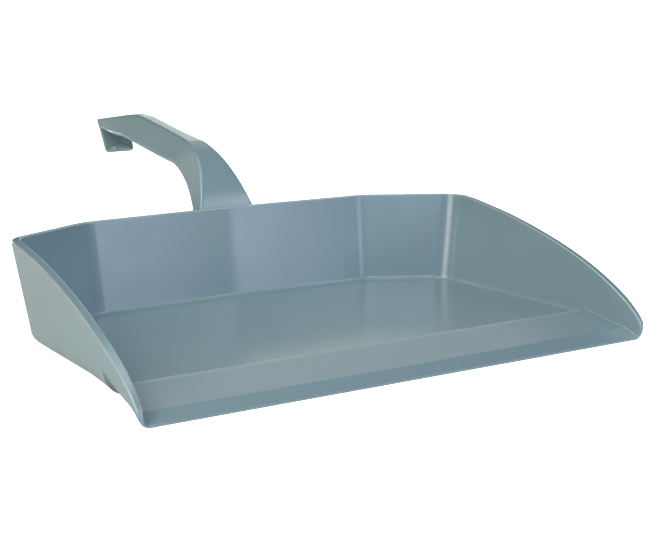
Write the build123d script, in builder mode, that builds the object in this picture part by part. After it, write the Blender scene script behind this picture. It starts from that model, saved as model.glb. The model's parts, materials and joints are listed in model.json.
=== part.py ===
import os
from math import atan
from math import cos
from math import radians
from math import sin
from math import tan

from build123d import *

os.makedirs("parts", exist_ok=True)

# Driving dimensions of the pan, in millimetres and degrees
mouth_width = 295.0
back_reach = 180.5
back_fold = 3.4
back_flat = 88.8
corner_setback = 27.7
side_flare = 4.9
wall_draft = 7.8
wall = 4.5
floor = 3.0
lip_drop = 4.1
corner_round = 8.0
facet_round = 20.0
fold_round = 60.0
heel_round = 5.5
cove_round = 3.0
rim_round = 1.8

# Rim, measured from the lip and from its level: level round the back, falling along the sides
rim_height = 57.2
fall_angle = 7.0
fall_round = 60.0
shoulder_back = 27.5
shoulder_height = 27.2
nose_height = 8.5
nose_round = 9.0
nose_set_back = 0.3

# Crest, ramp and lip
crest_back = 38.0
crest_rise = 2.75
crest_run = 6.0
crest_round = 2.0
crest_foot_round = 4.0
ramp = 3.0
break_back = 8.9
break_height = 4.9
lip_edge = 1.3
break_round = 3.0

# Line along the top of the handle, measured from the lip level and from the back of the rim
handle_foot = 24.0
grip_reach = 109.0
grip_top = 101.2
grip_rise = 7.5
tip_reach = 154.0
tip_height = 94.0
bend_round = 55.0
crest_bend = 78.0

# Widths and depths of the handle, and the runs along its top, from the foot, where they change
root_width = 35.5
root_hem = 38.6
root_depth = 7.0
foot_depth = 3.0
grip_ridge = 8.8
grip_hem = 27.5
grip_depth = 13.0
hook_width = 21.5
tip_depth = 6.2
rim_run = 32.0
neck_run = 112.0
spread_length = 52.0
hole_from_end = 39.6
section_count = 8
channel_count = 13
hang_hole = 5.5
handle_skin = 3.0
handle_wall = 2.8
ridge_bevel = 1.2
ridge_over = 1.2

# Hook that closes the end of the handle
hook_lean = 27.0
hook_length = 23.5
hook_taper = 1.0
hook_wall = 4.0
toe_reach = 3.5
toe_wall = 3.0
toe_round = 1.2
toe_cove = 2.0

# Room left around a form that only cuts or clips another
spare = 12.0

# Values that follow from the driving dimensions
draft_slope = tan(radians(wall_draft))
flare_slope = tan(radians(side_flare))
wall_plan = wall / cos(radians(wall_draft))
heel_tangent = heel_round / tan(radians(90 + wall_draft) / 2)
heel_reach = back_reach + lip_drop * draft_slope - heel_tangent
stand_tilt = atan(lip_drop / heel_reach)
floor_top = lip_drop + floor
crest_height = floor_top + crest_rise
floor_front = crest_back + crest_run
form_height = rim_height + spare
rear = back_reach + rim_height * draft_slope
hook_down = Vector(-sin(radians(hook_lean)), -cos(radians(hook_lean)))
hook_forward = Vector(-cos(radians(hook_lean)), sin(radians(hook_lean)))
grip_slope = tan(radians(grip_rise))
wall_middle = back_reach - wall_plan / 2
foot_point = Vector(wall_middle + draft_slope * handle_foot, handle_foot)
crest_point = Vector(rear + grip_reach, grip_top)
tip_point = Vector(rear + tip_reach, tip_height)
bend_height = (grip_top + grip_slope * (wall_middle - crest_point.X)) / (1 - grip_slope * draft_slope)
bend_point = Vector(wall_middle + draft_slope * bend_height, bend_height)
tip_forward = (crest_point - tip_point).normalized()
hook_point = tip_point + tip_forward * (hook_wall / tip_forward.dot(hook_forward))
tip_corner = (tip_forward + hook_down).normalized()
tip_centre = tip_point + tip_corner * (toe_round / tip_corner.cross(hook_down).length)
overall_length = tip_centre.X * cos(stand_tilt) + tip_centre.Y * sin(stand_tilt) + toe_round
lip_y = -overall_length / 2

# The pan's own planes: y runs back from the lip along the floor, z rises square to the floor
floor_up = (0, sin(stand_tilt), cos(stand_tilt))
floor_back = (0, cos(stand_tilt), -sin(stand_tilt))
base_plane = Plane(origin=(0, lip_y, 0), x_dir=(1, 0, 0), z_dir=floor_up)
side_plane = Plane(origin=(0, lip_y, 0), x_dir=floor_back, z_dir=(1, 0, 0))
floor_axis = Axis(base_plane.origin, floor_up)


def across(back):
    """Plane across the pan at a distance from the lip."""
    return Plane(side_plane.from_local_coords((back, 0, 0)), x_dir=(1, 0, 0), z_dir=floor_back)


def plan_of_walls(front, grow):
    """Outside of the walls seen from above at the level of the lip, grown by a margin."""
    half_mouth = mouth_width / 2
    corner_back = back_reach - corner_setback
    right_side = [
        (back_flat, back_reach - back_fold),
        (half_mouth - flare_slope * corner_back, corner_back),
        (half_mouth - flare_slope * front, front),
    ]
    left_side = [(-x, y) for x, y in reversed(right_side)]
    with BuildSketch() as plan:
        with BuildLine():
            Polyline(*left_side, (0, back_reach), *right_side, close=True)
        make_face()
        if grow:
            offset(amount=grow, kind=Kind.INTERSECTION)
        fillet(plan.vertices().sort_by(Axis.Y)[-1], fold_round + grow)
        fillet(plan.vertices().sort_by(Axis.Y)[4:6], facet_round + grow)
        fillet(plan.vertices().sort_by(Axis.Y)[2:4], corner_round + grow)
    return plan.sketch


def drafted_form(plane, front, grow, height, lean):
    """Block inside the plan of the walls, with every side but the front leaning outwards."""
    with BuildPart() as form:
        with BuildSketch(plane):
            add(plan_of_walls(front, grow))
        extrude(amount=height)
        upright = form.faces().filter_by(lambda face: abs(face.normal_at().dot(plane.z_dir)) < 0.5)
        draft(upright.sort_by(Axis.Y)[1:], plane, -lean)
    return form.part


with BuildPart() as inner_form:
    add(drafted_form(base_plane, -spare, -wall_plan, form_height, wall_draft))
    with BuildSketch(side_plane) as floor_outline:
        with BuildLine():
            lip_slope = (break_height - lip_edge) / break_back
            Polyline(
                (-spare, lip_edge - lip_slope * spare),
                (break_back, break_height),
                (crest_back, crest_height),
                (floor_front, floor_top),
                (rear + spare, floor_top),
                (rear + spare, form_height),
                (-spare, form_height),
                close=True,
            )
        make_face()
        for corner, blend in (
            ((break_back, break_height), break_round),
            ((crest_back, crest_height), crest_round),
            ((floor_front, floor_top), crest_foot_round),
        ):
            fillet(floor_outline.vertices().sort_by_distance(corner)[0], blend)
    extrude(amount=mouth_width, both=True, mode=Mode.INTERSECT)
    low = inner_form.faces().filter_by(lambda face: face.normal_at().dot(Vector(*floor_up)) < -0.6)
    fillet(low.edges().filter_by(Axis.X, reverse=True), cove_round)

with BuildPart() as front_form:
    add(drafted_form(base_plane, -spare, 0, form_height, wall_draft))
    with BuildSketch(side_plane):
        with BuildLine():
            Polyline(
                (0, 0),
                (break_back, break_height - ramp),
                (crest_back, crest_height - ramp),
                (floor_front, crest_height - ramp),
                (floor_front, form_height),
                (0, form_height),
                close=True,
            )
        make_face()
    extrude(amount=mouth_width, both=True, mode=Mode.INTERSECT)

with BuildPart() as pan:
    add(drafted_form(base_plane.offset(lip_drop), -spare, lip_drop * draft_slope, form_height, wall_draft))
    split(bisect_by=across(crest_back), keep=Keep.TOP)
    fillet(pan.faces().sort_by(floor_axis)[0].edges(), heel_round)
    add(front_form.part)
    add(inner_form.part, mode=Mode.SUBTRACT)

with BuildPart() as core_form:
    add(drafted_form(base_plane, -spare, -wall_plan - cove_round, form_height, wall_draft))

crest_cut = across(floor_front + crest_foot_round)
break_cut = across(break_back)
corner_cut_back = back_reach - corner_setback - corner_round
corner_cut = across(corner_cut_back)

with BuildPart() as pan_floor:
    add(pan.part)
    add(core_form.part, mode=Mode.INTERSECT)
    split(bisect_by=crest_cut, keep=Keep.TOP)

with BuildPart() as entry_ramp:
    add(pan.part)
    add(core_form.part, mode=Mode.INTERSECT)
    split(bisect_by=crest_cut, keep=Keep.BOTTOM)
    split(bisect_by=break_cut, keep=Keep.TOP)

with BuildPart() as scraper_lip:
    add(pan.part)
    add(core_form.part, mode=Mode.INTERSECT)
    split(bisect_by=break_cut, keep=Keep.BOTTOM)

# The rim is square to the wall below it, so it slopes gently up from the outside to the inside
with BuildPart() as roof:
    eaves_plane = base_plane.offset(rim_height - spare * draft_slope)
    eaves_grow = rim_height * draft_slope + spare
    add(drafted_form(eaves_plane, crest_back, eaves_grow, 2 * spare * draft_slope, wall_draft - 90))
    with BuildSketch(eaves_plane):
        add(plan_of_walls(crest_back, eaves_grow))
    extrude(amount=-form_height)

with BuildPart() as back_wall:
    add(pan.part)
    add(core_form.part, mode=Mode.SUBTRACT)
    split(bisect_by=corner_cut, keep=Keep.TOP)
    add(roof.part, mode=Mode.INTERSECT)
    rim_middle = side_plane.from_local_coords((rear, rim_height, -back_flat / 2))
    fillet(back_wall.edges().sort_by_distance(rim_middle)[:2], rim_round)


def on_wall(back, up):
    """Place in the right wall's plane of a point given by its distance from the lip and its height."""
    climb = up / cos(radians(wall_draft))
    return (back / cos(radians(side_flare)) - climb * sin(radians(wall_draft)) * flare_slope, climb)


def rim_form(hand):
    """Block below the rim of one side wall, drawn on the outside of the wall: x runs back, y runs up."""
    along = Vector(*floor_back) * cos(radians(side_flare)) - Vector(hand, 0, 0) * sin(radians(side_flare))
    outside = front_form.faces().sort_by(Axis.X)[-1 if hand > 0 else 0]
    foot = base_plane.from_local_coords((hand * mouth_width / 2, 0, 0))
    fall_back = corner_cut_back - fall_round * tan(radians(fall_angle))
    nose_front = (wall + cove_round) * sin(radians(side_flare)) + nose_set_back
    slope = (-cos(radians(fall_angle)), -sin(radians(fall_angle)))
    with BuildPart() as block:
        with BuildSketch(Plane(foot, x_dir=along, z_dir=outside.normal_at() * hand)) as outline:
            with BuildLine():
                level = Line(on_wall(back_reach, rim_height), on_wall(fall_back, rim_height))
                fall = TangentArc(level @ 1, on_wall(shoulder_back, shoulder_height), tangent=slope)
                nose = TangentArc(fall @ 1, on_wall(nose_front, nose_height), tangent=fall % 1)
                Polyline(
                    nose @ 1,
                    on_wall(nose_front, -spare),
                    on_wall(back_reach, -spare),
                    level @ 0,
                )
            make_face()
            fillet(outline.vertices().sort_by_distance(on_wall(fall_back, rim_height))[0], fall_round)
            fillet(outline.vertices().sort_by_distance(on_wall(nose_front, nose_height))[0], nose_round)
        extrude(amount=mouth_width / 4, both=True)
    return block.part


def side_wall(hand):
    """Wall on one side of the pan, cut off along its rim and rounded there."""
    with BuildPart() as body:
        add(pan.part)
        add(core_form.part, mode=Mode.SUBTRACT)
        split(bisect_by=corner_cut, keep=Keep.BOTTOM)
        split(bisect_by=Plane.YZ, keep=Keep.TOP if hand > 0 else Keep.BOTTOM)
        add(rim_form(hand), mode=Mode.INTERSECT)
        fillet(body.edges().filter_by(GeomType.CIRCLE).sort_by(SortBy.LENGTH)[-2:], rim_round)
    return body.part


with BuildPart() as left_side_wall:
    add(side_wall(-1))

with BuildPart() as right_side_wall:
    add(side_wall(1))

# Ridge of the handle, in the pan's side plane
ridge_points = (foot_point, bend_point, crest_point, hook_point)
ridge_corners = [side_plane.from_local_coords(point) for point in ridge_points]

with BuildLine(side_plane) as ridge:
    FilletPolyline(*ridge_corners, radius=[bend_round, crest_bend])
ridge_line = ridge.wire()


def section_plane(run):
    """Plane square to the ridge at a distance along it, with y pointing into the handle."""
    along = run / ridge_line.length
    return Plane(ridge_line @ along, x_dir=(1, 0, 0), z_dir=ridge_line % along)


def section_at(run):
    """Width on top, width underneath and depth of the handle at a distance along it."""
    spread_run = ridge_line.length - spread_length
    rise = min(run / rim_run, 1)
    flare = min(max((neck_run - run) / (neck_run - rim_run), 0), 1) ** 2
    spread = max((run - spread_run) / spread_length, 0) ** 2
    top_width = grip_ridge + (root_width - grip_ridge) * flare + (hook_width - grip_ridge) * spread
    hem_width = grip_hem + (root_hem - grip_hem) * flare + (hook_width - grip_hem) * spread
    depth = grip_depth + (root_depth - grip_depth) * flare + (tip_depth - grip_depth) * spread
    hem_width -= (root_hem - root_width) * (1 - rise)
    depth -= (root_depth - foot_depth) * (1 - rise)
    return top_width, hem_width, depth


hook_back = Vector(*floor_back) * -hook_forward.X + Vector(*floor_up) * -hook_forward.Y
hook_cut = Plane(side_plane.from_local_coords(hook_point), x_dir=(1, 0, 0), z_dir=hook_back)


def handle_section(run):
    """Outline across the handle at a distance along it, its two bevels carried on past the ridge."""
    top_width, hem_width, depth = section_at(run)
    lean = (hem_width - top_width) / 2
    bevel = ridge_bevel / (lean**2 + depth**2) ** 0.5
    bevel_slope = (ridge_bevel + bevel * lean) / (bevel * depth)
    over_width = top_width / 2 - ridge_bevel - bevel_slope * ridge_over
    with BuildSketch(section_plane(run)) as outline:
        with BuildLine():
            Polyline(
                (-over_width, -ridge_over),
                (over_width, -ridge_over),
                (top_width / 2 + bevel * lean, bevel * depth),
                (hem_width / 2, depth),
                (-hem_width / 2, depth),
                (-top_width / 2 - bevel * lean, bevel * depth),
                close=True,
            )
        make_face()
    return outline.sketch


def channel_section(run):
    """Outline across the hollow under the handle, open far below the hem."""
    top_width, hem_width, depth = section_at(run)
    lean = (hem_width - top_width) / 2 / depth
    side = handle_wall * (1 + lean**2) ** 0.5
    inner_top = top_width / 2 + lean * handle_skin - side
    inner_hem = top_width / 2 + lean * (depth + spare) - side
    with BuildSketch(section_plane(run)) as outline:
        with BuildLine():
            Polyline(
                (-inner_top, handle_skin),
                (inner_top, handle_skin),
                (inner_hem, depth + spare),
                (-inner_hem, depth + spare),
                close=True,
            )
        make_face()
    return outline.sketch


grip_run = ridge_line.length - rim_run

# Everything above the ridge, which trims the handle's top to one clean sweep of planes and cylinders
with BuildPart() as ridge_trim:
    with BuildSketch(side_plane):
        with BuildLine():
            FilletPolyline(*ridge_points, radius=[bend_round, crest_bend])
            Polyline(
                hook_point,
                hook_point + Vector(spare, 0),
                hook_point + Vector(spare, spare * 2),
                Vector(foot_point.X - spare, hook_point.Y + spare * 2),
                foot_point - Vector(spare, 0),
                foot_point,
            )
        make_face()
    extrude(amount=root_hem, both=True)

with BuildPart() as channel:
    steps = [rim_run + grip_run * step / (channel_count - 1) for step in range(channel_count)]
    loft([channel_section(run) for run in steps], ruled=True)

with BuildPart() as handle_arm:
    steps = [rim_run + grip_run * step / (section_count - 1) for step in range(section_count)]
    loft([handle_section(run) for run in steps])
    split(bisect_by=hook_cut, keep=Keep.BOTTOM)
    loft([handle_section(0), handle_section(rim_run)], ruled=True)
    add(ridge_trim.part, mode=Mode.SUBTRACT)
    add(channel.part, mode=Mode.SUBTRACT)
    add(back_wall.part, mode=Mode.SUBTRACT)

# The root ends and the even grip begins where the root's flare dies out
neck_cut = section_plane(neck_run)

with BuildPart() as handle_root:
    add(handle_arm.part)
    split(bisect_by=neck_cut, keep=Keep.BOTTOM)

with BuildPart() as handle_grip:
    add(handle_arm.part)
    split(bisect_by=neck_cut, keep=Keep.TOP)
    hole_section = section_plane(ridge_line.length - hole_from_end)
    with BuildSketch(Plane(hole_section.origin, x_dir=(1, 0, 0), z_dir=hole_section.y_dir)):
        Circle(hang_hole / 2)
    extrude(amount=handle_skin * 2, both=True, mode=Mode.SUBTRACT)

with BuildPart() as handle_end_hook:
    hook_bottom = tip_point + hook_down * hook_length
    toe_top = hook_bottom - hook_down * toe_wall
    with BuildSketch(side_plane) as hook_outline:
        with BuildLine():
            Polyline(
                hook_point,
                tip_point,
                hook_bottom,
                hook_bottom + hook_forward * (hook_wall + toe_reach),
                toe_top + hook_forward * (hook_wall + toe_reach),
                toe_top + hook_forward * hook_wall,
                close=True,
            )
        make_face()
        for corner, blend in (
            (toe_top + hook_forward * hook_wall, toe_cove),
            (toe_top + hook_forward * (hook_wall + toe_reach), toe_round),
            (hook_bottom + hook_forward * (hook_wall + toe_reach), toe_round),
            (hook_bottom, toe_wall),
            (tip_point, toe_round),
        ):
            fillet(hook_outline.vertices().sort_by_distance(corner)[0], blend)
    extrude(amount=hook_width / 2, both=True)
    with BuildSketch(hook_cut) as hook_face:
        with BuildLine():
            Polyline(
                (-hook_width / 2, 0),
                (hook_width / 2, 0),
                (hook_width / 2 - hook_taper, hook_length + hook_wall),
                (hook_taper - hook_width / 2, hook_length + hook_wall),
                close=True,
            )
        make_face()
    extrude(amount=hook_wall + toe_reach, both=True, mode=Mode.INTERSECT)

pieces = {
    "pan_floor": pan_floor,
    "entry_ramp": entry_ramp,
    "scraper_lip": scraper_lip,
    "left_side_wall": left_side_wall,
    "right_side_wall": right_side_wall,
    "back_wall": back_wall,
    "handle_root": handle_root,
    "handle_grip": handle_grip,
    "handle_end_hook": handle_end_hook,
}
for name, piece in pieces.items():
    piece.part.label = name
    export_step(piece.part, f"parts/{name}.step")
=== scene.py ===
# %% [markdown]
# # A hand dustpan in satin plastic
# The real dustpan is one plastic moulding: a wide tray, a ramp that runs down to a thin scraping
# lip, a back wall with a slight fold, and a hollow handle that ends in a hook. This lesson dresses
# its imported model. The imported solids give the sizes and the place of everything, and the meshes
# made here stand for them with softer edges and a real plastic finish.

# %% Load the frame
import json
from collections import namedtuple
from math import atan, cos, pi, radians, sin, sqrt, tan

import bmesh
import bpy
from mathutils import Matrix, Vector


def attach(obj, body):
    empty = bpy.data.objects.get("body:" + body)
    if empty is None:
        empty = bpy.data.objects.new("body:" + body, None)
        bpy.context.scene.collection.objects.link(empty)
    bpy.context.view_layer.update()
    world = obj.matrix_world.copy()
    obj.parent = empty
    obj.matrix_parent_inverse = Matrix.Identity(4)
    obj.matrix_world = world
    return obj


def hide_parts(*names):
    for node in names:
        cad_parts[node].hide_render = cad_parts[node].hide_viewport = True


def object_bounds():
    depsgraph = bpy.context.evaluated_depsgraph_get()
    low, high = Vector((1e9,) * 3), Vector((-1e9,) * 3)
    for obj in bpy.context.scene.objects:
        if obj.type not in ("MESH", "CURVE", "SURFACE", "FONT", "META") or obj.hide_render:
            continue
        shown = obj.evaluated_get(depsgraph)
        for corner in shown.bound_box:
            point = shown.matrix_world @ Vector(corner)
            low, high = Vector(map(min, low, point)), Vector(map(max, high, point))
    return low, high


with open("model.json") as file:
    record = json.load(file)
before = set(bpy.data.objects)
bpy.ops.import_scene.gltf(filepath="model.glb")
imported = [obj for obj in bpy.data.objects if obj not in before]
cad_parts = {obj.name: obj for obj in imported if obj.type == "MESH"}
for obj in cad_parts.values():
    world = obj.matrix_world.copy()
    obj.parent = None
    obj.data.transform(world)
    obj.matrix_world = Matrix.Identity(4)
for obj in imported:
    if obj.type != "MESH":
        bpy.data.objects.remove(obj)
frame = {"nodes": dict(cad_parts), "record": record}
cad_low, cad_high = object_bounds()
print("nodes:", ", ".join(sorted(frame["nodes"])))

# %% [markdown]
# ## The pan's own directions
# The pan stands on its lip and on its heel, so its floor tilts by a little over one degree. It is
# easier to think in the pan's own directions: across, back from the lip along the floor, and up
# from the floor. The finished object could be tilted, but a piece should stay unturned, with its
# place in its mesh. So one small function takes each point of the pan, in millimetres, and gives
# its place in the scene, in metres.

# %% Place a point of the pan in the scene
MM = 0.001
back_reach = 180.5
lip_drop = 4.1
wall_draft = radians(7.8)
heel_round = 5.5
heel_reach = back_reach + lip_drop * tan(wall_draft) - heel_round / tan((pi / 2 + wall_draft) / 2)
stand_tilt = atan(lip_drop / heel_reach)
lip_y = cad_low[1] / MM


def turned(across, back, up):
    """Direction in the scene of a direction given across, back and up in the pan."""
    return Vector((
        across,
        back * cos(stand_tilt) + up * sin(stand_tilt),
        up * cos(stand_tilt) - back * sin(stand_tilt),
    ))


def placed(across, back, up):
    """Place in the scene, in metres, of a point of the pan given in millimetres."""
    return (turned(across, back, up) + Vector((0, lip_y, 0))) * MM


print(f"the floor tilts by {stand_tilt * 180 / pi:.2f} degrees")

# %% [markdown]
# ## The camera
# The view was found by fitting the pan's edges to the photograph: about 33 degrees round to the
# left, 12 degrees up, and close enough for the mouth to look wider on one side. A camera can be
# aimed with rotation angles, but here its three directions are known, so they are written as the
# columns of its matrix.

# %% Camera
view_turn = radians(32.89)
view_drop = radians(11.99)
view_roll = radians(0.24)
view_place = (-412.32, -558.87, 199.9)
focal_pixels = 1499.82
picture_pixels = 659
sensor_width = 36
view_limit = 20


def in_scene(name, data):
    """New object in the scene that shows a mesh, a curve, a camera or a light."""
    thing = bpy.data.objects.new(name, data)
    bpy.context.scene.collection.objects.link(thing)
    return thing


ahead = Vector((sin(view_turn) * cos(view_drop), cos(view_turn) * cos(view_drop), -sin(view_drop)))
level = Vector((cos(view_turn), -sin(view_turn), 0))
upright = level.cross(ahead)
camera_right = turned(*(level * cos(view_roll) + upright * sin(view_roll)))
camera_up = turned(*(upright * cos(view_roll) - level * sin(view_roll)))
camera_behind = turned(*-ahead)
camera_turn = Matrix((camera_right, camera_up, camera_behind)).transposed().to_4x4()

camera_data = bpy.data.cameras.new("camera")
camera_data.sensor_width = sensor_width
camera_data.lens = focal_pixels / picture_pixels * sensor_width
camera_data.clip_end = view_limit
camera = in_scene("camera", camera_data)
camera.matrix_world = Matrix.Translation(placed(*view_place)) @ camera_turn
bpy.context.scene.camera = camera
print(f"lens {camera_data.lens:.1f} mm")

# %% [markdown]
# ## The line of the walls
# Seen from above, the outside of the walls is a chain of straight runs with rounded corners: two
# sides that draw together towards the back, two short slanted corners, and two halves of the back
# that meet in a slight fold. A corner keeps the same roundness at every height although the walls
# lean, as it does in a mould cut by one tool, so a plain offset of the outline won't do. Each stop
# keeps the sharp corner, the way that corner spreads as the wall leans out, the way the stop looks
# out and runs along, its roundings outside and inside, and how much more than usual the wall leans.

# %% Corners of the plan and stops round them
Stop = namedtuple("Stop", "corner spread out along rounds lean")
half_mouth = 147.3
side_flare = radians(4.7)
corner_back = back_reach - 27
corner_across = half_mouth - tan(side_flare) * corner_back
facet_across, facet_back = 88.8, back_reach - 3.4
right_half = [(facet_across, facet_back), (corner_across, corner_back), (half_mouth, 0)]
left_half = [(-across, back) for across, back in reversed(right_half)]
plan = [Vector(point) for point in left_half + [(0, back_reach)] + right_half]
corner_round, facet_round, fold_round = 16, 26, 110
plan_rounds = [0, corner_round, facet_round, fold_round, facet_round, corner_round, 0]
inside_tighter = 2.0
corner_lean, facet_lean = 1.15, 1.05
plan_leans = [1, corner_lean, facet_lean, 1, facet_lean, corner_lean, 1]
# Steps round each corner, by its number in the plan.
plan_steps = {1: 10, 2: 6, 3: 6, 4: 6, 5: 10}


def facing(angle):
    """Direction in the plan at an angle."""
    return Vector((cos(angle), sin(angle)))


def corner_stops(index, steps):
    """Stops round one corner of the plan."""
    before = (plan[index] - plan[index - 1]).normalized()
    after = (plan[index + 1] - plan[index]).normalized()
    turn = before.angle(after)
    start = Vector((-before.y, before.x))
    end = Vector((-after.y, after.x))
    spread = (start + end) / (1 + cos(turn))
    rounds = (plan_rounds[index], plan_rounds[index] - inside_tighter)
    start_angle = -Vector((1, 0)).angle_signed(start)
    stops = []
    for step in range(steps + 1):
        angle = start_angle - turn * step / steps
        out, along = facing(angle), facing(angle - pi / 2)
        stops.append(Stop(plan[index], spread, out, along, rounds, plan_leans[index]))
    return stops


back_stops = [stop for index, steps in plan_steps.items() for stop in corner_stops(index, steps)]
print(len(back_stops), "stops round the back")

# %% [markdown]
# ## The rim
# The rim is level round the back, then falls along the sides, slowly at first and steeply at the
# nose, where it turns down into the front. A curve object could carry this line, but each section
# needs the height at an exact place. So the rim is a function, a smooth line through a few heights.

# %% Rim as a height
rim_height = 57.2
nose_height = 7.0
# Distance from the lip and height, in millimetres.
rim_points = [
    (1.6, 10.4), (4, 12.8), (7.2, 15.3), (12, 18.7), (19.1, 22.9), (27.1, 26.9),
    (36, 30.9), (45.8, 34.8), (57.1, 38.7), (69.3, 42.4), (80.2, 45.3), (90.4, 47.8),
    (102, 50.3), (112.6, 52.3), (122.7, 53.9), (134, 55.5), (144, 56.8), (152, rim_height),
]


def rim_slope(index):
    """Slope of the rim at one of its points, taken over its two neighbours."""
    before = rim_points[max(index - 1, 0)]
    after = rim_points[min(index + 1, len(rim_points) - 1)]
    return (after[1] - before[1]) / (after[0] - before[0])


def rim_at(back):
    """Height of the rim at a distance from the lip."""
    nose_end, nose_top = rim_points[0]
    if back >= rim_points[-1][0]:
        return rim_height
    if back <= nose_end:
        return nose_height + (nose_top - nose_height) * sqrt(max(back, 0) / nose_end)
    index = max(i for i, point in enumerate(rim_points) if point[0] <= back)
    (start, low), (end, high) = rim_points[index], rim_points[index + 1]
    end_slope = rim_slope(index + 1) if index + 2 < len(rim_points) else 0
    span = end - start
    share = (back - start) / span
    rise = (high - low) * share * share * (3 - 2 * share)
    first = rim_slope(index) * span * share * (1 - share) ** 2
    last = end_slope * span * share * share * (share - 1)
    return low + rise + first + last


nose, halfway, back_end = (rim_at(back) for back in (0, 80, 150))
print(f"rim {nose:.1f} at the nose, {halfway:.1f} halfway, {back_end:.1f} at the back")

# %% [markdown]
# ## The floor and the underside
# The floor rises from the lip to a crest, which holds the dust in, and steps down behind it. The
# underside follows the ramp and then drops to the level that the pan rests on. Both are flat faces
# with soft bends, so both are straight runs whose bends are eased over a short reach.

# %% Floor and underside as heights
lip_edge = 1.3
break_back, break_height, break_ease = 8.9, 4.9, 0.8
crest_back, crest_height, crest_ease = 38, 9.85, 0.7
foot_back, foot_ease = crest_back + 6, 1.0
floor_wall, ramp_wall, break_wall = 3, 2.0, 1.45
floor_top = lip_drop + floor_wall
past_back = 300


def soft_line(points, reaches):
    """Height along a line of points whose bends are eased over a reach on each side."""
    def height(back):
        spans = list(zip(points, points[1:]))
        slopes = [(b[1] - a[1]) / (b[0] - a[0]) for a, b in spans]
        for (x, y), reach, rise, next_rise in zip(points[1:], reaches, slopes, slopes[1:]):
            if abs(back - x) < reach:
                bend = (next_rise - rise) * (back - x + reach) ** 2 / (4 * reach)
                return y + rise * (back - x) + bend
        index = max([i for i, (a, b) in enumerate(spans) if back >= a[0]] or [0])
        return points[index][1] + slopes[index] * (back - points[index][0])
    return height


floor_at = soft_line(
    [
        (0, lip_edge), (break_back, break_height), (crest_back, crest_height),
        (foot_back, floor_top), (past_back, floor_top),
    ],
    [break_ease, crest_ease, foot_ease],
)
ramp_under = soft_line(
    [(0, 0), (break_back, break_height - break_wall), (crest_back, crest_height - ramp_wall)],
    [break_ease],
)


def under_at(back):
    """Height of the underside at a distance from the lip."""
    return ramp_under(back) if back <= crest_back else lip_drop


print(f"ramp {floor_at(crest_back):.2f} high at the crest, floor {floor_at(100):.2f} behind it")

# %% [markdown]
# ## Sizes that change along the pan
# The wall grows thinner at the nose, the cove at the foot of the wall is tighter over the ramp, and
# the heel under the wall is fullest halfway along. Tables of stops joined by straight runs say this
# in a line each, and are easier to tune than a formula.

# %% Wall, cove and heel
wall = 4.5


def straight_runs(stops):
    """Size that changes in straight runs between stops along the pan."""
    def size(back):
        for (start, first), (end, last) in zip(stops, stops[1:]):
            if back <= end:
                return first + (last - first) * max(back - start, 0) / (end - start)
        return stops[-1][1]
    return size


wall_at = straight_runs([(0, 2.9), (4, 3.5), (16, wall)])
cove_at = straight_runs([(0, 0.7), (10, 1.1), (36, 1.2), (48, 2.2)])
heel_at = straight_runs([(0, 6.8), (5, 9), (30, 12), (50, 14), (66, 14.4), (140, 6.6)])
print(f"wall {wall_at(0)} mm thick at the nose and {wall_at(back_reach)} mm at the back")

# %% [markdown]
# ## One section through the pan
# Cutting the pan square to its wall gives a section that follows one rule everywhere: along the
# underside, round the heel, up the leaning outside of the wall, over a rounded rim, down the
# inside, round a cove and out over the floor. Joining such sections in order makes one clean
# surface with even quads, which takes highlights far better than a mesh cut out of blocks. Each
# point also keeps a share of painted highlight: the two edges of the rim and a line along the crest
# are painted paler, to stand for the light lines that they catch.

# %% Section at one stop
OUTSIDE, INSIDE = 0, 1
rim_round = 0.9
lip_pinch = 0.35
heel_most, cove_most = 0.98, 0.6
heel_steps, rim_steps, cove_steps = 8, 6, 7
under_shares = (0, 0.4, 0.7, 0.9, 0.97)
wall_shares = (0.33, 0.67)
floor_shares = (0.03, 0.1, 0.3, 0.6, 1)
# Painted highlight along the crest: its strength, how far ahead of the crest it centres and its
# reach.
crest_highlight, crest_highlight_ahead, crest_highlight_reach = 0.45, 0.8, 2.4


def arc_steps(count):
    """Even shares from 0 to 1."""
    return [step / count for step in range(count + 1)]


# Painted highlight across each rounded rim edge, strongest halfway round it.
edge_highlight = [1 - (2 * share - 1) ** 2 for share in arc_steps(rim_steps)]


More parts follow.
